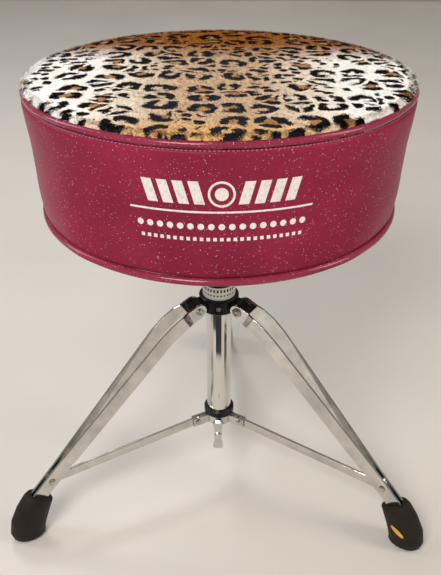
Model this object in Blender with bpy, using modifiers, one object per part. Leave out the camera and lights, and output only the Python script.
"""Drum throne: a round padded seat on a threaded rod, held by a folding three-legged stand."""

import math

import bmesh
import bpy
from mathutils import Matrix, Vector

MM = 0.001

# Overall sizes
SEAT_RADIUS = 177.5 * MM
RIM_HEIGHT = 476 * MM
SEAT_DEPTH = 116 * MM
FOOT_REACH = 240.5 * MM
LEG_COUNT = 3
LEG_TURNS = [math.radians(-30), math.radians(90), math.radians(210)]

# Clearances
GAP = 0.3 * MM
SOFT_GAP = 0.4 * MM
RUNNING_GAP = 0.3 * MM

# Seat
COVER_WALL = 2.5 * MM
SIDE_TAPER = 6 * MM
BEAD_RADIUS = 3.1 * MM
RIM_SEAM_DROP = 2.1 * MM
FUR_THICKNESS = 6 * MM
FUR_RISE = 9 * MM
BOARD_THICKNESS = 12 * MM
BOARD_INSET = 8 * MM
FLANGE_INNER = 140 * MM
DUST_COVER_THICKNESS = 1.3 * MM

# Rod and the parts round it
ROD_RADIUS = 10.8 * MM
THREAD_PITCH = 5 * MM
THREAD_DEPTH = 1.3 * MM
ROD_LENGTH = 196 * MM
BRACKET_SIDE = 112 * MM
PLATE_THICKNESS = 3.5 * MM
SOCKET_HEIGHT = 36 * MM
SOCKET_WALL = 5 * MM
SEAT_BOLT_RISE = 16 * MM
SCREW_RADIUS = 2.7 * MM
SCREW_SPACING = 42 * MM
NUT_FLANGE_RADIUS = 9.5 * MM
NUT_FLANGE_THICKNESS = 1.5 * MM
NUT_BARREL_RADIUS = 4.3 * MM
LOCK_HEIGHT = 16 * MM
LOCK_WALL = 8 * MM

# Stand
TUBE_RADIUS = 14 * MM
TUBE_WALL = 2 * MM
TUBE_BOTTOM = 69 * MM
HUB_BOTTOM = 228 * MM
HUB_RING_RADIUS = TUBE_RADIUS + 7.5 * MM
HUB_RING_HEIGHT = 16.5 * MM
HOUSING_RADIUS = TUBE_RADIUS + 2.9 * MM
HOUSING_TOP = 266 * MM
BAND_HEIGHT = 15 * MM
BAND_THICKNESS = 0.6 * MM
ARM_WIDTH = 16 * MM
ARM_END_RADIUS = 5.6 * MM
PIVOT_REACH = HUB_RING_RADIUS + 7 * MM
PIVOT_HEIGHT = 234 * MM
PIVOT_PIN_RADIUS = 3 * MM
ARM_SLOPE = math.radians(25)
ARM_REACH_PAST_PIN = 5 * MM
SET_SCREW_RADIUS = 3 * MM
SET_SCREW_HEIGHT = 235.5 * MM

# Legs
STRAP_DEPTH = 16.5 * MM
STRAP_THICKNESS = 2.5 * MM
STRAP_SLOPE = math.radians(46)
STRAP_FLARE = 1.5 * MM
STAY_REACH = 208 * MM
STAY_PIVOT_HEIGHT = 65.5 * MM
FOOT_START = 25 * MM
FOOT_SOCKET_DEPTH = 20 * MM

# Stays and collar
STAY_THICKNESS = 3 * MM
STAY_DEPTH = 11 * MM
COLLAR_RADIUS = TUBE_RADIUS + 2.4 * MM
COLLAR_PIVOT_REACH = COLLAR_RADIUS + 13 * MM
COLLAR_PIVOT_HEIGHT = 75 * MM
COLLAR_HEIGHT = 11 * MM
SLEEVE_HEIGHT = 7.7 * MM
SLEEVE_RADIUS = TUBE_RADIUS + 3.3 * MM
EAR_THICKNESS = 2 * MM
EAR_REACH = COLLAR_PIVOT_REACH + 5.6 * MM
STAY_PIN_RADIUS = 2.2 * MM
STAY_STRAIGHT = 198.5 * MM

# Wing bolts
WING_SPAN = 32 * MM
COLLAR_WING_SPAN = 40 * MM
WING_END = 12 * MM
WING_WAIST = 7 * MM
WING_THICKNESS = 4.5 * MM
WING_STEM_RADIUS = 3.4 * MM

# How finely round things are divided
SEAT_STEPS = 48
BEAD_SIDES = 8
TURNED_STEPS = 28
PIN_STEPS = 12
FOOT_SIDES = 20
THREAD_SIDES = 12

# Sizes that follow from the ones above
SEAT_BASE = RIM_HEIGHT - SEAT_DEPTH
BEAD_LOW_HEIGHT = SEAT_BASE + 0.4 * MM
FLANGE_LOW = BEAD_LOW_HEIGHT + BEAD_RADIUS + GAP
BOARD_BOTTOM = FLANGE_LOW + COVER_WALL + SOFT_GAP
BOARD_TOP = BOARD_BOTTOM + BOARD_THICKNESS
BASE_RADIUS = SEAT_RADIUS - SIDE_TAPER
BOARD_RADIUS = BASE_RADIUS - BOARD_INSET
PLATE_TOP = BOARD_BOTTOM - 2 * GAP - DUST_COVER_THICKNESS
PLATE_BOTTOM = PLATE_TOP - PLATE_THICKNESS
SOCKET_BOTTOM = PLATE_TOP - SOCKET_HEIGHT
SOCKET_RADIUS = ROD_RADIUS + RUNNING_GAP + SOCKET_WALL
ROD_TOP = PLATE_TOP - 4 * MM
LOCK_BOTTOM = HOUSING_TOP + GAP
LOCK_RADIUS = ROD_RADIUS + RUNNING_GAP + LOCK_WALL
STRAP_INNER = ARM_WIDTH / 2 + RUNNING_GAP
STRAP_INNER_LOW = STAY_THICKNESS / 2 + RUNNING_GAP + 0.1 * MM
STAY_ALONG = Vector((math.cos(STRAP_SLOPE), -math.sin(STRAP_SLOPE)))
COLLAR_BOTTOM = TUBE_BOTTOM + 0.5 * MM
COLLAR_TOP = COLLAR_BOTTOM + COLLAR_HEIGHT
COLLAR_SCREW_HEIGHT = COLLAR_BOTTOM + COLLAR_HEIGHT / 2


# Scene and helpers


def clear_scene():
    for thing in list(bpy.data.objects):
        bpy.data.objects.remove(thing, do_unlink=True)


def new_collection(name, hidden=False):
    made = bpy.data.collections.new(name)
    bpy.context.scene.collection.children.link(made)
    made.hide_render = hidden
    return made


def linear(channel):
    return channel / 12.92 if channel <= 0.04045 else ((channel + 0.055) / 1.055) ** 2.4


def material(name, colour, roughness, metallic=0.0):
    made = bpy.data.materials.new(name)
    made.use_nodes = True
    shader = made.node_tree.nodes["Principled BSDF"]
    rgb = [linear(int(colour[i : i + 2], 16) / 255) for i in (0, 2, 4)]
    shader.inputs["Base Color"].default_value = (*rgb, 1)
    shader.inputs["Roughness"].default_value = roughness
    shader.inputs["Metallic"].default_value = metallic
    made.diffuse_color = (*rgb, 1)
    return made


def empty(name, location, turn=0.0, parent=None):
    made = bpy.data.objects.new(name, None)
    PARTS.objects.link(made)
    made.location = location
    made.rotation_euler = (0, 0, turn)
    made.parent = parent
    return made


def new_object(name, mesh, look, location=(0, 0, 0), parent=None, rotation=(0, 0, 0)):
    made = bpy.data.objects.new(name, mesh)
    PARTS.objects.link(made)
    if look is not None and not mesh.materials:
        mesh.materials.append(look)
    made.location = location
    made.rotation_euler = rotation
    made.parent = parent
    return made


def smooth(mesh, angle=35):
    for face in mesh.polygons:
        face.use_smooth = True
    mesh.set_sharp_from_angle(angle=math.radians(angle))


def cutter(name, mesh, location=(0, 0, 0), parent=None, rotation=(0, 0, 0)):
    made = bpy.data.objects.new(name, mesh)
    CUTTERS.objects.link(made)
    made.location = location
    made.rotation_euler = rotation
    made.parent = parent
    made.hide_render = True
    made.display_type = "WIRE"
    return made


def boolean(target, other, operation="DIFFERENCE"):
    step = target.modifiers.new(operation.title(), "BOOLEAN")
    step.operation = operation
    step.solver = "EXACT"
    step.object = other


def bevel(target, width, segments=2, angle=40):
    step = target.modifiers.new("Bevel", "BEVEL")
    step.width = width
    step.segments = segments
    step.limit_method = "ANGLE"
    step.angle_limit = math.radians(angle)


def turned_mesh(name, profile, steps, closed=False):
    """A profile of (radius, height) revolved about the upright axis."""
    shape = bpy.data.meshes.new(name + "_profile")
    points = [(radius, 0, height) for radius, height in profile]
    edges = [(i, i + 1) for i in range(len(points) - 1)]
    if closed:
        edges.append((len(points) - 1, 0))
    shape.from_pydata(points, edges, [])
    holder = bpy.data.objects.new(name + "_profile", shape)
    bpy.context.scene.collection.objects.link(holder)
    screw = holder.modifiers.new("Screw", "SCREW")
    screw.steps = steps
    screw.render_steps = steps
    screw.use_merge_vertices = True
    screw.merge_threshold = 0.00001
    bpy.context.view_layer.update()
    graph = bpy.context.evaluated_depsgraph_get()
    mesh = bpy.data.meshes.new_from_object(holder.evaluated_get(graph))
    mesh.name = name
    bpy.data.objects.remove(holder)
    face_outwards(mesh)
    smooth(mesh)
    return mesh


def face_outwards(mesh):
    body = bmesh.new()
    body.from_mesh(mesh)
    bmesh.ops.remove_doubles(body, verts=body.verts, dist=0.000002)
    bmesh.ops.recalc_face_normals(body, faces=body.faces)
    body.to_mesh(mesh)
    body.free()


def ring_profile(inner, outer, low, high):
    return [(outer, high), (outer, low), (inner, low), (inner, high)]


def cylinder_mesh(name, radius, length, steps=TURNED_STEPS):
    """A cylinder from its origin up along Z."""
    return turned_mesh(name, [(0, length), (radius, length), (radius, 0), (0, 0)], steps)


def disc_mesh(name, radius, low, high):
    """A flat disc whose two faces are each one polygon."""
    mesh = bpy.data.meshes.new(name)
    body = bmesh.new()
    bmesh.ops.create_cone(
        body,
        cap_ends=True,
        segments=SEAT_STEPS,
        radius1=radius,
        radius2=radius,
        depth=high - low,
        matrix=Matrix.Translation((0, 0, (low + high) / 2)),
    )
    body.to_mesh(mesh)
    body.free()
    return mesh


def box_mesh(name, low, high):
    mesh = bpy.data.meshes.new(name)
    body = bmesh.new()
    bmesh.ops.create_cube(body, size=1)
    middle = [(a + b) / 2 for a, b in zip(low, high)]
    sides = [b - a for a, b in zip(low, high)]
    body.transform(Matrix.Translation(middle) @ Matrix.Diagonal((*sides, 1)))
    body.to_mesh(mesh)
    body.free()
    return mesh


def plate_mesh(name, outline, thickness):
    """An outline of (x, z) made into an upright plate, centred on Y = 0."""
    mesh = bpy.data.meshes.new(name)
    body = bmesh.new()
    face = body.faces.new([body.verts.new((x, -thickness / 2, z)) for x, z in outline])
    pushed = bmesh.ops.extrude_face_region(body, geom=[face])
    moved = [v for v in pushed["geom"] if isinstance(v, bmesh.types.BMVert)]
    bmesh.ops.translate(body, verts=moved, vec=(0, thickness, 0))
    bmesh.ops.recalc_face_normals(body, faces=body.faces)
    body.to_mesh(mesh)
    body.free()
    return mesh


def half_circle(centre, radius, first, steps=8):
    """Points of (x, z) half way round a circle, from first degrees on."""
    turns = [math.radians(first + 180 * step / steps) for step in range(steps + 1)]
    return [
        (centre[0] + radius * math.cos(turn), centre[1] + radius * math.sin(turn))
        for turn in turns
    ]


ALONG_Y = (math.radians(-90), 0, 0)
ALONG_X = (0, math.radians(90), 0)
ALONG_MINUS_X = (0, math.radians(-90), 0)
ALONG_MINUS_Y = (math.radians(90), 0, 0)


# Seat: cover, foam, board


def side_profile():
    """Outer wall of the side cover, top to bottom, as (radius, height)."""
    top = RIM_HEIGHT - BEAD_RADIUS - RIM_SEAM_DROP
    shares = [
        (0.00, 0.000),
        (0.04, 0.047),
        (0.11, 0.110),
        (0.22, 0.173),
        (0.41, 0.278),
        (0.57, 0.424),
        (0.65, 0.613),
        (0.72, 0.728),
        (0.86, 0.833),
        (1.05, 0.916),
    ]
    return [
        (SEAT_RADIUS - SIDE_TAPER * taper, top - (top - SEAT_BASE) * drop)
        for taper, drop in shares
    ]


def seat_side_cover(parent):
    outer = side_profile()
    low_radius = outer[-1][0]
    rim_radius = outer[0][0]
    over_rim = [
        (rim_radius - 7 * MM, outer[0][1] + 0.6 * MM),
        (rim_radius - 3 * MM, outer[0][1] + 2.2 * MM),
    ]
    under_rim = [(rim_radius - 7 * MM, outer[0][1] + 0.6 * MM - COVER_WALL)]
    turn_in = [(low_radius - 4 * MM, FLANGE_LOW), (FLANGE_INNER, FLANGE_LOW)]
    turn_back = [
        (FLANGE_INNER, FLANGE_LOW + COVER_WALL),
        (low_radius - 5 * MM, FLANGE_LOW + COVER_WALL),
    ]
    inner = [(radius - COVER_WALL, height) for radius, height in reversed(outer[1::2])]
    profile = over_rim + outer + turn_in + turn_back + inner + under_rim
    mesh = turned_mesh("seat_side_cover", profile, SEAT_STEPS, closed=True)
    look = material("glitter_vinyl_red", "8E1F52", 0.32)
    return new_object("seat_side_cover", mesh, look, parent=parent)


def seat_top_cover(parent):
    edge = SEAT_RADIUS - 7.6 * MM
    base = RIM_HEIGHT - 4.3 * MM
    outer = [
        (0, RIM_HEIGHT + FUR_RISE),
        (edge * 0.35, RIM_HEIGHT + FUR_RISE * 0.97),
        (edge * 0.7, RIM_HEIGHT + FUR_RISE * 0.85),
        (edge * 0.9, RIM_HEIGHT + FUR_RISE * 0.62),
        (edge - 4 * MM, RIM_HEIGHT + FUR_RISE * 0.42),
        (edge, RIM_HEIGHT - 0.5 * MM),
        (edge, base),
    ]
    inner = [
        (edge - FUR_THICKNESS, base),
        (edge * 0.9, RIM_HEIGHT + FUR_RISE * 0.62 - FUR_THICKNESS),
        (edge * 0.7, RIM_HEIGHT + FUR_RISE * 0.85 - FUR_THICKNESS),
        (0, RIM_HEIGHT + FUR_RISE - FUR_THICKNESS),
    ]
    mesh = turned_mesh("seat_top_cover", outer + inner, SEAT_STEPS)
    look = material("plush_leopard_fur", "C9AC85", 0.95)
    return new_object("seat_top_cover", mesh, look, parent=parent)


def bead(name, radius, height, look, parent):
    circle = []
    for i in range(BEAD_SIDES):
        turn = -2 * math.pi * i / BEAD_SIDES
        circle.append((radius + BEAD_RADIUS * math.cos(turn), height + BEAD_RADIUS * math.sin(turn)))
    mesh = turned_mesh(name, circle, SEAT_STEPS, closed=True)
    return new_object(name, mesh, look, parent=parent)


def seat_beads(parent):
    look = material("glitter_vinyl_piping", "7C1A47", 0.35)
    top_radius = SEAT_RADIUS - 3.9 * MM
    bead("top_piping", top_radius, RIM_HEIGHT + 0.2 * MM, look, parent)
    bead("bottom_piping", BASE_RADIUS - BEAD_RADIUS + 0.2 * MM, BEAD_LOW_HEIGHT, look, parent)


def seat_foam(parent):
    wall = COVER_WALL + SOFT_GAP
    edge = SEAT_RADIUS - 7.6 * MM
    crown = RIM_HEIGHT + FUR_RISE - FUR_THICKNESS - SOFT_GAP
    top = [
        (0, crown),
        (edge * 0.7, crown - FUR_RISE * 0.15),
        (edge * 0.9 - GAP, crown - FUR_RISE * 0.38 - GAP),
        (edge - FUR_THICKNESS - GAP, RIM_HEIGHT - 4.6 * MM),
        (edge - 1 * MM, RIM_HEIGHT - 8.6 * MM),
    ]
    side = [(radius - wall, height) for radius, height in side_profile()[2:-1]]
    low = [(side[-1][0], BOARD_TOP + SOFT_GAP), (0, BOARD_TOP + SOFT_GAP)]
    mesh = turned_mesh("seat_foam", top + side + low, SEAT_STEPS)
    look = material("seat_foam_cream", "E6D9B0", 0.95)
    return new_object("seat_foam", mesh, look, parent=parent)


def screw_places():
    return [(x * SCREW_SPACING, y * SCREW_SPACING) for x, y in ((1, 1), (-1, 1), (-1, -1), (1, -1))]


def seat_base_board(parent):
    profile = [
        (0, BOARD_TOP),
        (BOARD_RADIUS - 2 * MM, BOARD_TOP),
        (BOARD_RADIUS, BOARD_TOP - 2 * MM),
        (BOARD_RADIUS, BOARD_BOTTOM + 2 * MM),
        (BOARD_RADIUS - 2 * MM, BOARD_BOTTOM),
        (0, BOARD_BOTTOM),
    ]
    mesh = turned_mesh("seat_base_board", profile, SEAT_STEPS)
    board = new_object("seat_base_board", mesh, material("plywood_base", "B98F5C", 0.7), parent=parent)
    hole = turned_mesh("nut_pocket", nut_pocket_profile(), PIN_STEPS)
    for number, (x, y) in enumerate(screw_places(), 1):
        boolean(board, cutter(f"nut_pocket_{number}", hole, (x, y, 0), parent))
    return board


def nut_pocket_profile():
    barrel = NUT_BARREL_RADIUS + GAP
    flange = NUT_FLANGE_RADIUS + GAP
    ledge = BOARD_TOP - NUT_FLANGE_THICKNESS - 2 * GAP
    return [
        (0, BOARD_TOP + 1 * MM),
        (flange, BOARD_TOP + 1 * MM),
        (flange, ledge),
        (barrel, ledge),
        (barrel, BOARD_BOTTOM - 1 * MM),
        (0, BOARD_BOTTOM - 1 * MM),
    ]


def board_nuts(parent):
    look = material("zinc_plated_nut", "A9ABA6", 0.4, 1.0)
    bore = SCREW_RADIUS + GAP
    top = BOARD_TOP - GAP
    profile = [
        (NUT_FLANGE_RADIUS, top),
        (NUT_FLANGE_RADIUS, top - NUT_FLANGE_THICKNESS),
        (NUT_BARREL_RADIUS, top - NUT_FLANGE_THICKNESS),
        (NUT_BARREL_RADIUS, BOARD_BOTTOM + 2 * MM),
        (bore, BOARD_BOTTOM + 2 * MM),
        (bore, top),
    ]
    mesh = turned_mesh("board_nut", profile, PIN_STEPS, closed=True)
    for number, (x, y) in enumerate(screw_places(), 1):
        new_object(f"board_nut_{number}", mesh, look, (x, y, 0), parent)


def bracket_screws(parent):
    look = material("zinc_plated_screw", "8D8F8C", 0.35, 1.0)
    head = PLATE_BOTTOM - GAP
    profile = [
        (0, BOARD_TOP - 1 * MM),
        (SCREW_RADIUS, BOARD_TOP - 1 * MM),
        (SCREW_RADIUS, head),
        (5.5 * MM, head),
        (5.2 * MM, head - 2 * MM),
        (3.6 * MM, head - 3.4 * MM),
        (1.6 * MM, head - 3.4 * MM),
        (0, head - 1.8 * MM),
    ]
    mesh = turned_mesh("bracket_screw", profile, PIN_STEPS)
    for number, (x, y) in enumerate(screw_places(), 1):
        new_object(f"bracket_screw_{number}", mesh, look, (x, y, 0), parent)


def bottom_cover(parent):
    low = BOARD_BOTTOM - GAP - DUST_COVER_THICKNESS
    mesh = disc_mesh("bottom_cover", FLANGE_INNER - SOFT_GAP, low, low + DUST_COVER_THICKNESS)
    look = material("black_dust_cloth", "17171A", 0.9)
    cover = new_object("bottom_cover", mesh, look, parent=parent)
    hole = cylinder_mesh("cloth_hole", SCREW_RADIUS + GAP, 6 * MM, PIN_STEPS)
    for number, (x, y) in enumerate(screw_places(), 1):
        boolean(cover, cutter(f"cloth_hole_{number}", hole, (x, y, low - 2 * MM), parent))
    return cover


def seat_bracket(parent):
    half = BRACKET_SIDE / 2
    plate = box_mesh("seat_bracket", (-half, -half, PLATE_BOTTOM), (half, half, PLATE_TOP))
    look = material("black_cast_steel", "1B1B1D", 0.5, 0.6)
    bracket = new_object("seat_bracket", plate, look, parent=parent)
    bevel(bracket, 1 * MM, 1)
    foot = PLATE_TOP - 1 * MM
    socket = [
        (0, foot),
        (SOCKET_RADIUS + 12 * MM, foot),
        (SOCKET_RADIUS + 12 * MM, PLATE_BOTTOM - 1.5 * MM),
        (SOCKET_RADIUS, PLATE_BOTTOM - 12 * MM),
        (SOCKET_RADIUS, SOCKET_BOTTOM),
        (0, SOCKET_BOTTOM),
    ]
    boolean(bracket, cutter("bracket_socket", turned_mesh("bracket_socket", socket, TURNED_STEPS), parent=parent), "UNION")
    boss = cylinder_mesh("bracket_boss", 8 * MM, 16 * MM, PIN_STEPS)
    boss_at = (SOCKET_RADIUS - 9 * MM, 0, seat_bolt_height())
    boolean(bracket, cutter("bracket_boss", boss, boss_at, parent, ALONG_X), "UNION")
    bore = cylinder_mesh("bracket_bore", ROD_RADIUS + RUNNING_GAP, ROD_TOP - SOCKET_BOTTOM + 3 * MM)
    boolean(bracket, cutter("bracket_bore", bore, (0, 0, SOCKET_BOTTOM - 2 * MM), parent))
    side = cylinder_mesh("bracket_side_hole", WING_STEM_RADIUS + GAP, 30 * MM, PIN_STEPS)
    boolean(bracket, cutter("bracket_side_hole", side, (5 * MM, 0, seat_bolt_height()), parent, ALONG_X))
    hole = cylinder_mesh("plate_hole", SCREW_RADIUS + GAP, 10 * MM, PIN_STEPS)
    for number, (x, y) in enumerate(screw_places(), 1):
        boolean(bracket, cutter(f"plate_hole_{number}", hole, (x, y, PLATE_BOTTOM - 3 * MM), parent))
    return bracket


def seat_bolt_height():
    return SOCKET_BOTTOM + SEAT_BOLT_RISE


# Wing bolts: a stem with a flat bow-tie head, origin on the stem axis at the tip


def wing_bolt(name, stem, location, rotation, parent, span=WING_SPAN):
    half, end, waist = span / 2, WING_END / 2, WING_WAIST / 2
    outline = [
        (-end, half - 2 * MM),
        (-end + 2 * MM, half),
        (end - 2 * MM, half),
        (end, half - 2 * MM),
        (waist, 5 * MM),
        (waist, -5 * MM),
        (end, -half + 2 * MM),
        (end - 2 * MM, -half),
        (-end + 2 * MM, -half),
        (-end, -half + 2 * MM),
        (-waist, -5 * MM),
        (-waist, 5 * MM),
    ]
    mesh = plate_mesh(name, outline, WING_THICKNESS)
    upright = Matrix.Translation((0, 0, stem + WING_THICKNESS / 2))
    mesh.transform(upright @ Matrix.Rotation(math.radians(90), 4, "X"))
    look = material(name + "_chrome", "B9BBBE", 0.18, 1.0)
    bolt = new_object(name, mesh, look, location, parent, rotation)
    bevel(bolt, 0.8 * MM, 1)
    shank = turned_mesh(
        name + "_shank",
        [
            (0, stem + WING_THICKNESS + 1.5 * MM),
            (4.2 * MM, stem + WING_THICKNESS + 1.5 * MM),
            (4.2 * MM, stem - 2.5 * MM),
            (WING_STEM_RADIUS, stem - 2.5 * MM),
            (WING_STEM_RADIUS, 1 * MM),
            (WING_STEM_RADIUS - 1 * MM, 0),
            (0, 0),
        ],
        PIN_STEPS,
    )
    boolean(bolt, cutter(name + "_shank", shank, location, parent, rotation), "UNION")
    return bolt


# Threaded rod and height lock


def threaded_rod(parent):
    """A rod with a coarse thread: a grid whose radius follows the helix, capped at both ends."""
    steps_per_pitch = 3
    rows = int(ROD_LENGTH / THREAD_PITCH * steps_per_pitch)
    depth = {0: 0.0, 1: 0.0, 2: THREAD_DEPTH}
    body = bmesh.new()
    grid = []
    for row in range(rows + 1):
        line = []
        for side in range(THREAD_SIDES):
            phase = (row + side * steps_per_pitch / THREAD_SIDES) % steps_per_pitch
            low, share = int(phase), phase - int(phase)
            cut = depth[low] * (1 - share) + depth[(low + 1) % steps_per_pitch] * share
            if row in (0, 1, rows - 1, rows):
                cut = THREAD_DEPTH
            turn = 2 * math.pi * side / THREAD_SIDES
            radius = ROD_RADIUS - cut
            height = row * ROD_LENGTH / rows - ROD_LENGTH
            line.append(body.verts.new((radius * math.cos(turn), radius * math.sin(turn), height)))
        grid.append(line)
    for low, high in zip(grid, grid[1:]):
        for side in range(THREAD_SIDES):
            after = (side + 1) % THREAD_SIDES
            body.faces.new((low[side], low[after], high[after], high[side]))
    body.faces.new(list(reversed(grid[0])))
    body.faces.new(grid[-1])
    mesh = bpy.data.meshes.new("threaded_rod")
    body.to_mesh(mesh)
    body.free()
    look = material("zinc_threaded_steel", "9C9E9F", 0.3, 1.0)
    return new_object("threaded_rod", mesh, look, (0, 0, ROD_TOP), parent)


def height_lock(parent):
    bore = ROD_RADIUS + RUNNING_GAP
    top = LOCK_BOTTOM + LOCK_HEIGHT
    profile = [
        (LOCK_RADIUS - 1 * MM, top),
        (LOCK_RADIUS, top - 1 * MM),
        (LOCK_RADIUS, LOCK_BOTTOM + 1 * MM),
        (LOCK_RADIUS - 1 * MM, LOCK_BOTTOM),
        (bore, LOCK_BOTTOM),
        (bore, top),
    ]
    mesh = turned_mesh("height_lock", profile, TURNED_STEPS, closed=True)
    look = material("black_cast_lock", "1D1D1F", 0.45, 0.6)
    lock = new_object("height_lock", mesh, look, parent=parent)
    middle = LOCK_BOTTOM + LOCK_HEIGHT / 2
    side = cylinder_mesh("lock_side_hole", WING_STEM_RADIUS + GAP, 20 * MM, PIN_STEPS)
    boolean(lock, cutter("lock_side_hole", side, (-6 * MM, 0, middle), parent, ALONG_MINUS_X))
    return lock


# Hub, tube and band


def hub(parent):
    ring_top = HUB_BOTTOM + HUB_RING_HEIGHT
    tube_bore = TUBE_RADIUS + GAP
    tube_seat = HUB_BOTTOM + 14.5 * MM
    rod_bore = ROD_RADIUS + RUNNING_GAP
    solid = [
        (0, HOUSING_TOP),
        (HOUSING_RADIUS - 1 * MM, HOUSING_TOP),
        (HOUSING_RADIUS, HOUSING_TOP - 1 * MM),
        (HOUSING_RADIUS, ring_top),
        (HUB_RING_RADIUS - 1 * MM, ring_top),
        (HUB_RING_RADIUS, ring_top - 1 * MM),
        (HUB_RING_RADIUS, HUB_BOTTOM + 1 * MM),
        (HUB_RING_RADIUS - 1 * MM, HUB_BOTTOM),
        (0, HUB_BOTTOM),
    ]
    mesh = turned_mesh("hub", solid, TURNED_STEPS)
    look = material("black_cast_hub", "19191B", 0.42, 0.5)
    casting = new_object("hub", mesh, look, parent=parent)
    end = (
        PIVOT_REACH + ARM_REACH_PAST_PIN * math.cos(ARM_SLOPE),
        PIVOT_HEIGHT - ARM_REACH_PAST_PIN * math.sin(ARM_SLOPE),
    )
    nose = half_circle(end, ARM_END_RADIUS, -90 - math.degrees(ARM_SLOPE))
    root_end = [
        (PIVOT_REACH, PIVOT_HEIGHT + ARM_END_RADIUS + 0.8 * MM),
        (17 * MM, PIVOT_HEIGHT + ARM_END_RADIUS + 0.8 * MM),
        (17 * MM, PIVOT_HEIGHT - ARM_END_RADIUS),
        (PIVOT_REACH, PIVOT_HEIGHT - ARM_END_RADIUS),
    ]
    arm = plate_mesh("hub_arm", nose + root_end, ARM_WIDTH)
    pin_hole = cylinder_mesh("hub_pin_hole", PIVOT_PIN_RADIUS + GAP, 2 * ARM_WIDTH, PIN_STEPS)
    for number, turn in enumerate(LEG_TURNS, 1):
        frame = empty(f"hub_arm_frame_{number}", (0, 0, 0), turn, parent)
        boolean(casting, cutter(f"hub_arm_{number}", arm, (0, 0, 0), frame), "UNION")
    for number, turn in enumerate(LEG_TURNS, 1):
        frame = bpy.data.objects[f"hub_arm_frame_{number}"]
        at = (PIVOT_REACH, -ARM_WIDTH, PIVOT_HEIGHT)
        boolean(casting, cutter(f"hub_pin_hole_{number}", pin_hole, at, frame, ALONG_Y))
    bores = [
        (0, HOUSING_TOP + 2 * MM),
        (rod_bore, HOUSING_TOP + 2 * MM),
        (rod_bore, tube_seat),
        (tube_bore, tube_seat),
        (tube_bore, HUB_BOTTOM - 2 * MM),
        (0, HUB_BOTTOM - 2 * MM),
    ]
    boolean(casting, cutter("hub_bores", turned_mesh("hub_bores", bores, TURNED_STEPS), parent=parent))
    grub = cylinder_mesh("grub_hole", SET_SCREW_RADIUS + GAP, 20 * MM, PIN_STEPS)
    at = (0, -TUBE_RADIUS + 2 * MM, SET_SCREW_HEIGHT)
    boolean(casting, cutter("grub_hole", grub, at, parent, ALONG_MINUS_Y))
    return casting


def hub_set_screw(parent):
    length = HUB_RING_RADIUS - TUBE_RADIUS - 2 * GAP
    profile = [
        (0, length - 1.8 * MM),
        (1.3 * MM, length - 1.8 * MM),
        (1.6 * MM, length),
        (SET_SCREW_RADIUS - 0.4 * MM, length),
        (SET_SCREW_RADIUS, length - 0.5 * MM),
        (SET_SCREW_RADIUS, 0.8 * MM),
        (SET_SCREW_RADIUS - 0.8 * MM, 0),
        (0, 0),
    ]
    mesh = turned_mesh("hub_set_screw", profile, PIN_STEPS)
    at = (0, -TUBE_RADIUS - GAP, SET_SCREW_HEIGHT)
    look = material("dark_steel_grub", "3A3B3D", 0.35, 1.0)
    return new_object("hub_set_screw", mesh, look, at, parent, ALONG_MINUS_Y)


def label_band(parent):
    low = HUB_BOTTOM + HUB_RING_HEIGHT + GAP
    inner = HOUSING_RADIUS + 0.1 * MM
    profile = ring_profile(inner, inner + BAND_THICKNESS, low, low + BAND_HEIGHT)
    mesh = turned_mesh("label_band", profile, TURNED_STEPS, closed=True)
    look = material("white_paper_band", "F1F1EC", 0.45)
    return new_object("label_band", mesh, look, parent=parent)


def centre_tube(parent):
    top = HUB_BOTTOM + 14.5 * MM - GAP
    inner = TUBE_RADIUS - TUBE_WALL
    profile = ring_profile(inner, TUBE_RADIUS, TUBE_BOTTOM, top)
    mesh = turned_mesh("centre_tube", profile, TURNED_STEPS, closed=True)
    look = material("chrome_tube", "C9CBCE", 0.08, 1.0)
    return new_object("centre_tube", mesh, look, parent=parent)


def tube_plug(parent):
    radius = TUBE_RADIUS - TUBE_WALL - GAP
    top = TUBE_BOTTOM + 14 * MM
    profile = [
        (0, top),
        (radius, top),
        (radius, TUBE_BOTTOM + 1 * MM),
        (radius - 1 * MM, TUBE_BOTTOM),
        (radius - 3 * MM, TUBE_BOTTOM),
        (radius - 3 * MM, TUBE_BOTTOM + 6 * MM),
        (0, TUBE_BOTTOM + 6 * MM),
    ]
    mesh = turned_mesh("tube_plug", profile, TURNED_STEPS)
    look = material("black_nylon_plug", "131314", 0.6)
    return new_object("tube_plug", mesh, look, parent=parent)


# Legs: two bent straps each, a hub rivet, lower rivets and a rubber foot


def strap_path():
    """Centreline stations of a strap as (reach, height, inner face offset, half depth)."""
    half = STRAP_DEPTH / 2
    wide = STRAP_INNER
    low = STRAP_INNER_LOW
    start = Vector((PIVOT_REACH, PIVOT_HEIGHT))
    first = Vector((math.cos(ARM_SLOPE), -math.sin(ARM_SLOPE)))
    stations = []
    for back in (-1, -0.93, -0.75, -0.45, 0):
        point = start + first * half * back
        stations.append((point, wide, half * max(math.sqrt(1 - back * back), 0.12)))
    rivet = Vector((STAY_REACH, STAY_PIVOT_HEIGHT))
    knee = rivet - STAY_ALONG * STAY_STRAIGHT
    elbow = start + first * 18.5 * MM
    stations.append((start + first * 12 * MM, wide, half))
    stations.append((elbow, wide + STRAP_FLARE, half))
    stations.append((elbow.lerp(knee, 0.5) + Vector((0.6, 1.1)) * MM, wide + STRAP_FLARE, half))
    stations.append((knee, wide + STRAP_FLARE * 0.8, half))
    stations.append((knee + STAY_ALONG * 12 * MM, wide + STRAP_FLARE * 0.5, half))
    stations.append((rivet - STAY_ALONG * 16 * MM, low, half))
    stations.append((rivet, low, half))
    stations.append((rivet + STAY_ALONG * (FOOT_START + FOOT_SOCKET_DEPTH), low, half))
    return stations


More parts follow.
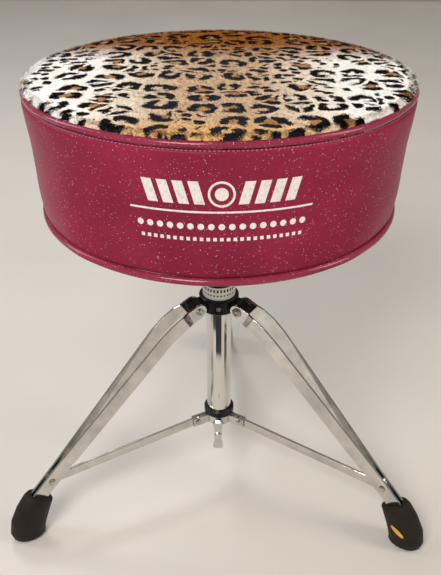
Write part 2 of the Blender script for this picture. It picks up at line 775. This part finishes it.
def strap_mesh(name, side):
    """An upright strip along the stations, standing edge on, side +1 or -1 of the leg's plane."""
    stations = strap_path()
    body = bmesh.new()
    pairs = []
    for number, (point, inner, half) in enumerate(stations):
        before = stations[max(number - 1, 0)][0]
        after = stations[min(number + 1, len(stations) - 1)][0]
        along = (after - before).normalized()
        across = Vector((-along.y, along.x))
        offset = side * (inner + STRAP_THICKNESS / 2)
        top = point + across * half
        low = point - across * half
        ends = [
            body.verts.new((edge.x - PIVOT_REACH, offset, edge.y - PIVOT_HEIGHT))
            for edge in (low, top)
        ]
        pairs.append(ends)
    for first, second in zip(pairs, pairs[1:]):
        body.faces.new((first[0], first[1], second[1], second[0]))
    mesh = bpy.data.meshes.new(name)
    body.to_mesh(mesh)
    body.free()
    return mesh


def leg_straps(number, frame, look):
    stay_at = (STAY_REACH - PIVOT_REACH, 0, STAY_PIVOT_HEIGHT - PIVOT_HEIGHT)
    for word, side in (("left", 1), ("right", -1)):
        name = f"leg_{number}_strap_{word}"
        strap = new_object(name, strap_mesh(name, side), look, (PIVOT_REACH, 0, PIVOT_HEIGHT), frame)
        wall = strap.modifiers.new("Solidify", "SOLIDIFY")
        wall.thickness = STRAP_THICKNESS
        wall.offset = 0
        bevel(strap, 0.5 * MM, 1, 50)
        for place, radius in (((0, 0, 0), PIVOT_PIN_RADIUS), (stay_at, STAY_PIN_RADIUS)):
            hole = cylinder_mesh(f"{name}_hole", radius + GAP, 20 * MM, PIN_STEPS)
            at = (PIVOT_REACH + place[0], -10 * MM + side * 6 * MM, PIVOT_HEIGHT + place[2])
            boolean(strap, cutter(f"{name}_hole", hole, at, frame, ALONG_Y))


def hub_rivet(number, frame, look):
    """A shouldered pin: dimpled head on one side, a smaller rolled end on the other."""
    outer = STRAP_INNER + STRAP_THICKNESS + GAP
    profile = [
        (0, outer + 1.2 * MM),
        (1.8 * MM, outer + 1.2 * MM),
        (2.4 * MM, outer + 2.4 * MM),
        (4.2 * MM, outer + 2.2 * MM),
        (5.2 * MM, outer + 1 * MM),
        (5.2 * MM, outer),
        (PIVOT_PIN_RADIUS, outer),
        (PIVOT_PIN_RADIUS, -outer),
        (4.3 * MM, -outer),
        (4.0 * MM, -outer - 1.2 * MM),
        (2.6 * MM, -outer - 1.9 * MM),
        (0, -outer - 1.4 * MM),
    ]
    mesh = turned_mesh(f"leg_{number}_hub_rivet", profile, PIN_STEPS)
    at = (PIVOT_REACH, 0, PIVOT_HEIGHT)
    return new_object(f"leg_{number}_hub_rivet", mesh, look, at, frame, ALONG_MINUS_Y)


def stay_stubs(number, frame, look):
    """Two headed stubs through the straps, stopping short of the stay between them."""
    inner = STRAP_INNER_LOW
    outer = inner + STRAP_THICKNESS + GAP
    profile = [
        (0, outer + 1.8 * MM),
        (2.2 * MM, outer + 1.7 * MM),
        (3.7 * MM, outer + 0.8 * MM),
        (3.9 * MM, outer),
        (STAY_PIN_RADIUS, outer),
        (STAY_PIN_RADIUS, inner),
        (0, inner),
    ]
    mesh = turned_mesh(f"leg_{number}_stub", profile, PIN_STEPS)
    at = (STAY_REACH, 0, STAY_PIVOT_HEIGHT)
    new_object(f"leg_{number}_stub_left", mesh, look, at, frame, ALONG_Y)
    new_object(f"leg_{number}_stub_right", mesh, look, at, frame, ALONG_MINUS_Y)


def foot_ring(share):
    """Centre (reach, height), tilt and half sizes of the foot's section at a share of its length."""
    inset = FOOT_REACH
    rings = [
        (0.00, inset - 17.5 * MM, 48.4 * MM, 58, 15.8 * MM, 10.8 * MM),
        (0.08, inset - 14.3 * MM, 44.2 * MM, 59, 17.2 * MM, 12.0 * MM),
        (0.32, inset - 8.0 * MM, 33.0 * MM, 64, 18.8 * MM, 13.0 * MM),
        (0.62, inset - 1.5 * MM, 18.0 * MM, 74, 19.6 * MM, 13.6 * MM),
        (0.88, inset + 1.0 * MM, 6.0 * MM, 84, 19.2 * MM, 13.6 * MM),
        (1.00, inset, 0.0 * MM, 90, 18.2 * MM, 13.0 * MM),
    ]
    for low, high in zip(rings, rings[1:]):
        if share <= high[0] + 1e-9:
            part = (share - low[0]) / (high[0] - low[0])
            return [a + (b - a) * part for a, b in zip(low[1:], high[1:])]
    return list(rings[-1][1:])


def foot_point(share, turn, outset=0.0):
    reach, height, tilt, deep, wide = foot_ring(share)
    tilt = math.radians(tilt)
    inward = (deep + outset) * math.cos(turn)
    across = (wide + outset) * math.sin(turn)
    x = reach + inward * math.sin(tilt) - PIVOT_REACH
    z = height + inward * math.cos(tilt) - PIVOT_HEIGHT
    return (x, across, z)


def rubber_foot(number, frame, look):
    body = bmesh.new()
    rings = []
    for share in (0, 0.08, 0.32, 0.62, 0.88, 1.0):
        turns = [2 * math.pi * side / FOOT_SIDES for side in range(FOOT_SIDES)]
        rings.append([body.verts.new(foot_point(share, turn)) for turn in turns])
    for high, low in zip(rings, rings[1:]):
        for side in range(FOOT_SIDES):
            after = (side + 1) % FOOT_SIDES
            body.faces.new((high[side], high[after], low[after], low[side]))
    body.faces.new(rings[0])
    body.faces.new(list(reversed(rings[-1])))
    bmesh.ops.recalc_face_normals(body, faces=body.faces)
    name = f"leg_{number}_foot"
    mesh = bpy.data.meshes.new(name)
    body.to_mesh(mesh)
    body.free()
    smooth(mesh, 50)
    foot = new_object(name, mesh, look, (PIVOT_REACH, 0, PIVOT_HEIGHT), frame)
    wide = STRAP_INNER_LOW + STRAP_THICKNESS + GAP
    deep = STRAP_DEPTH / 2 + GAP
    socket = box_mesh(name + "_socket", (-30 * MM, -wide, -deep), (FOOT_SOCKET_DEPTH + 0.5 * MM, wide, deep))
    mouth = Vector((STAY_REACH, STAY_PIVOT_HEIGHT)) + STAY_ALONG * FOOT_START
    boolean(foot, cutter(name + "_socket", socket, (mouth.x, 0, mouth.y), frame, (0, STRAP_SLOPE, 0)))
    return foot


def foot_tag(frame):
    """A thin oval sticker that follows the side of one foot."""
    body = bmesh.new()
    middle_share, middle_turn = 0.5, math.radians(-98)
    half_share, half_turn = 0.14, math.radians(10)
    slant = math.radians(14)
    sides = 20
    layers = []
    for outset in (0.3 * MM, 0.8 * MM):
        centre = body.verts.new(foot_point(middle_share, middle_turn, outset))
        loops = []
        for size in (0.5, 1.0):
            loop = []
            for side in range(sides):
                turn = 2 * math.pi * side / sides
                share = middle_share + half_share * size * math.cos(turn)
                round_by = middle_turn + size * (slant * math.cos(turn) + half_turn * math.sin(turn))
                loop.append(body.verts.new(foot_point(share, round_by, outset)))
            loops.append(loop)
        for side in range(sides):
            after = (side + 1) % sides
            body.faces.new((centre, loops[0][side], loops[0][after]))
            body.faces.new((loops[0][side], loops[1][side], loops[1][after], loops[0][after]))
        layers.append(loops[1])
    for side in range(sides):
        after = (side + 1) % sides
        body.faces.new((layers[0][side], layers[1][side], layers[1][after], layers[0][after]))
    bmesh.ops.recalc_face_normals(body, faces=body.faces)
    mesh = bpy.data.meshes.new("foot_tag")
    body.to_mesh(mesh)
    body.free()
    smooth(mesh)
    look = material("yellow_oval_sticker", "E3B62C", 0.5)
    return new_object("foot_tag", mesh, look, (PIVOT_REACH, 0, PIVOT_HEIGHT), frame)


# Collar and stays


def stay_collar(parent):
    ring = ring_profile(TUBE_RADIUS + RUNNING_GAP, COLLAR_RADIUS, COLLAR_BOTTOM, COLLAR_TOP)
    mesh = turned_mesh("stay_collar", ring, TURNED_STEPS, closed=True)
    look = material("chrome_collar", "BFC1C4", 0.15, 1.0)
    collar = new_object("stay_collar", mesh, look, parent=parent)
    inner = STRAP_INNER_LOW
    hole = cylinder_mesh("ear_hole", STAY_PIN_RADIUS + GAP, 16 * MM, PIN_STEPS)
    for number, turn in enumerate(LEG_TURNS, 1):
        frame = empty(f"collar_frame_{number}", (0, 0, 0), turn, parent)
        for word, side in (("left", 1), ("right", -1)):
            low, high = sorted((side * inner, side * (inner + EAR_THICKNESS)))
            ear = box_mesh(
                f"ear_{word}",
                (COLLAR_RADIUS - 1.5 * MM, low, COLLAR_BOTTOM + 0.2 * MM),
                (EAR_REACH, high, COLLAR_TOP - 0.2 * MM),
            )
            boolean(collar, cutter(f"ear_{word}_{number}", ear, (0, 0, 0), frame), "UNION")
        at = (COLLAR_PIVOT_REACH, -8 * MM, COLLAR_PIVOT_HEIGHT)
        boolean(collar, cutter(f"ear_hole_{number}", hole, at, frame, ALONG_Y))
    boss = cylinder_mesh("collar_boss", 5 * MM, 10 * MM, PIN_STEPS)
    at = (0, -COLLAR_RADIUS + 1.4 * MM, COLLAR_SCREW_HEIGHT)
    boolean(collar, cutter("collar_boss", boss, at, parent, ALONG_MINUS_Y), "UNION")
    side = cylinder_mesh("collar_side_hole", WING_STEM_RADIUS + GAP, 30 * MM, PIN_STEPS)
    at = (0, -TUBE_RADIUS + 2 * MM, COLLAR_SCREW_HEIGHT)
    boolean(collar, cutter("collar_side_hole", side, at, parent, ALONG_MINUS_Y))
    return collar


def collar_sleeve(parent):
    low = COLLAR_TOP + GAP
    outer = SLEEVE_RADIUS
    inner = TUBE_RADIUS + RUNNING_GAP
    profile = [
        (outer - 1 * MM, low + SLEEVE_HEIGHT),
        (outer, low + SLEEVE_HEIGHT - 1 * MM),
        (outer, low),
        (inner, low),
        (inner, low + SLEEVE_HEIGHT),
    ]
    mesh = turned_mesh("collar_sleeve", profile, TURNED_STEPS, closed=True)
    look = material("black_nylon_sleeve", "161617", 0.5)
    return new_object("collar_sleeve", mesh, look, parent=parent)


def collar_pin(number, frame, look):
    outer = STRAP_INNER_LOW + EAR_THICKNESS + GAP
    profile = [
        (0, outer + 1.6 * MM),
        (2.2 * MM, outer + 1.5 * MM),
        (3.6 * MM, outer + 0.7 * MM),
        (3.8 * MM, outer),
        (STAY_PIN_RADIUS, outer),
        (STAY_PIN_RADIUS, -outer),
        (3.4 * MM, -outer),
        (3.0 * MM, -outer - 1.1 * MM),
        (0, -outer - 1.3 * MM),
    ]
    mesh = turned_mesh(f"stay_{number}_collar_pin", profile, PIN_STEPS)
    at = (COLLAR_PIVOT_REACH, 0, COLLAR_PIVOT_HEIGHT)
    return new_object(f"stay_{number}_collar_pin", mesh, look, at, frame, ALONG_MINUS_Y)


def stay(number, frame, look):
    """A flat bar with round ends, standing edge on from the collar to the leg."""
    run = Vector((STAY_REACH - COLLAR_PIVOT_REACH, STAY_PIVOT_HEIGHT - COLLAR_PIVOT_HEIGHT))
    slope = math.atan2(-run.y, run.x)
    far_end = half_circle((run.length, 0), STAY_DEPTH / 2, -90)
    near_end = half_circle((0, 0), STAY_DEPTH / 2, 90)
    name = f"stay_{number}"
    mesh = plate_mesh(name, far_end + near_end, STAY_THICKNESS)
    at = (COLLAR_PIVOT_REACH, 0, COLLAR_PIVOT_HEIGHT)
    bar = new_object(name, mesh, look, at, frame, (0, slope, 0))
    bevel(bar, 0.4 * MM, 1, 50)
    hole = cylinder_mesh("stay_hole", STAY_PIN_RADIUS + GAP, 12 * MM, PIN_STEPS)
    drop = (COLLAR_PIVOT_REACH, -6 * MM, COLLAR_PIVOT_HEIGHT)
    boolean(bar, cutter(f"{name}_hole", hole, drop, frame, ALONG_Y))
    return bar


# The whole throne


def leg(number, turn, parent, looks):
    frame = empty(f"leg_{number}_frame", (0, 0, 0), turn, parent)
    leg_straps(number, frame, looks["strap"])
    hub_rivet(number, frame, looks["rivet"])
    stay_stubs(number, frame, looks["rivet"])
    rubber_foot(number, frame, looks["rubber"])
    collar_pin(number, frame, looks["rivet"])
    stay(number, frame, looks["stay"])
    return frame


def put_origin_under_middle(root):
    """Moves the throne so that the middle of its box stands over the origin."""
    bpy.context.view_layer.update()
    graph = bpy.context.evaluated_depsgraph_get()
    sides = []
    for thing in PARTS.objects:
        if thing.type == "MESH":
            made = thing.evaluated_get(graph)
            sides += [(made.matrix_world @ Vector(corner)) for corner in made.bound_box]
    for axis in (0, 1):
        values = [point[axis] for point in sides]
        root.location[axis] = -(min(values) + max(values)) / 2


clear_scene()
PARTS = new_collection("drum_throne")
CUTTERS = new_collection("drum_throne_cutters", hidden=True)
ROOT = empty("drum_throne_root", (0, 0, 0))

seat_side_cover(ROOT)
seat_top_cover(ROOT)
seat_beads(ROOT)
seat_foam(ROOT)
seat_base_board(ROOT)
board_nuts(ROOT)
bottom_cover(ROOT)
seat_bracket(ROOT)
bracket_screws(ROOT)
wing_bolt(
    "seat_wing_bolt",
    26 * MM,
    (ROD_RADIUS + GAP, 0, seat_bolt_height()),
    ALONG_X,
    ROOT,
)

threaded_rod(ROOT)
height_lock(ROOT)
wing_bolt(
    "lock_wing_bolt",
    22 * MM,
    (-ROD_RADIUS - GAP, 0, LOCK_BOTTOM + LOCK_HEIGHT / 2),
    ALONG_MINUS_X,
    ROOT,
)

hub(ROOT)
hub_set_screw(ROOT)
label_band(ROOT)
centre_tube(ROOT)
tube_plug(ROOT)

stay_collar(ROOT)
collar_sleeve(ROOT)
wing_bolt(
    "collar_wing_screw",
    22 * MM,
    (0, -TUBE_RADIUS - GAP, COLLAR_SCREW_HEIGHT),
    ALONG_MINUS_Y,
    ROOT,
    COLLAR_WING_SPAN,
)

LEG_LOOKS = {
    "strap": material("chrome_strap", "C4C6C9", 0.12, 1.0),
    "rivet": material("nickel_rivet", "B4B5B3", 0.25, 1.0),
    "rubber": material("black_rubber_foot", "17171A", 0.7),
    "stay": material("chrome_stay", "BDBFC2", 0.14, 1.0),
}
LEG_FRAMES = [leg(i + 1, LEG_TURNS[i], ROOT, LEG_LOOKS) for i in range(LEG_COUNT)]
foot_tag(LEG_FRAMES[0])
put_origin_under_middle(ROOT)
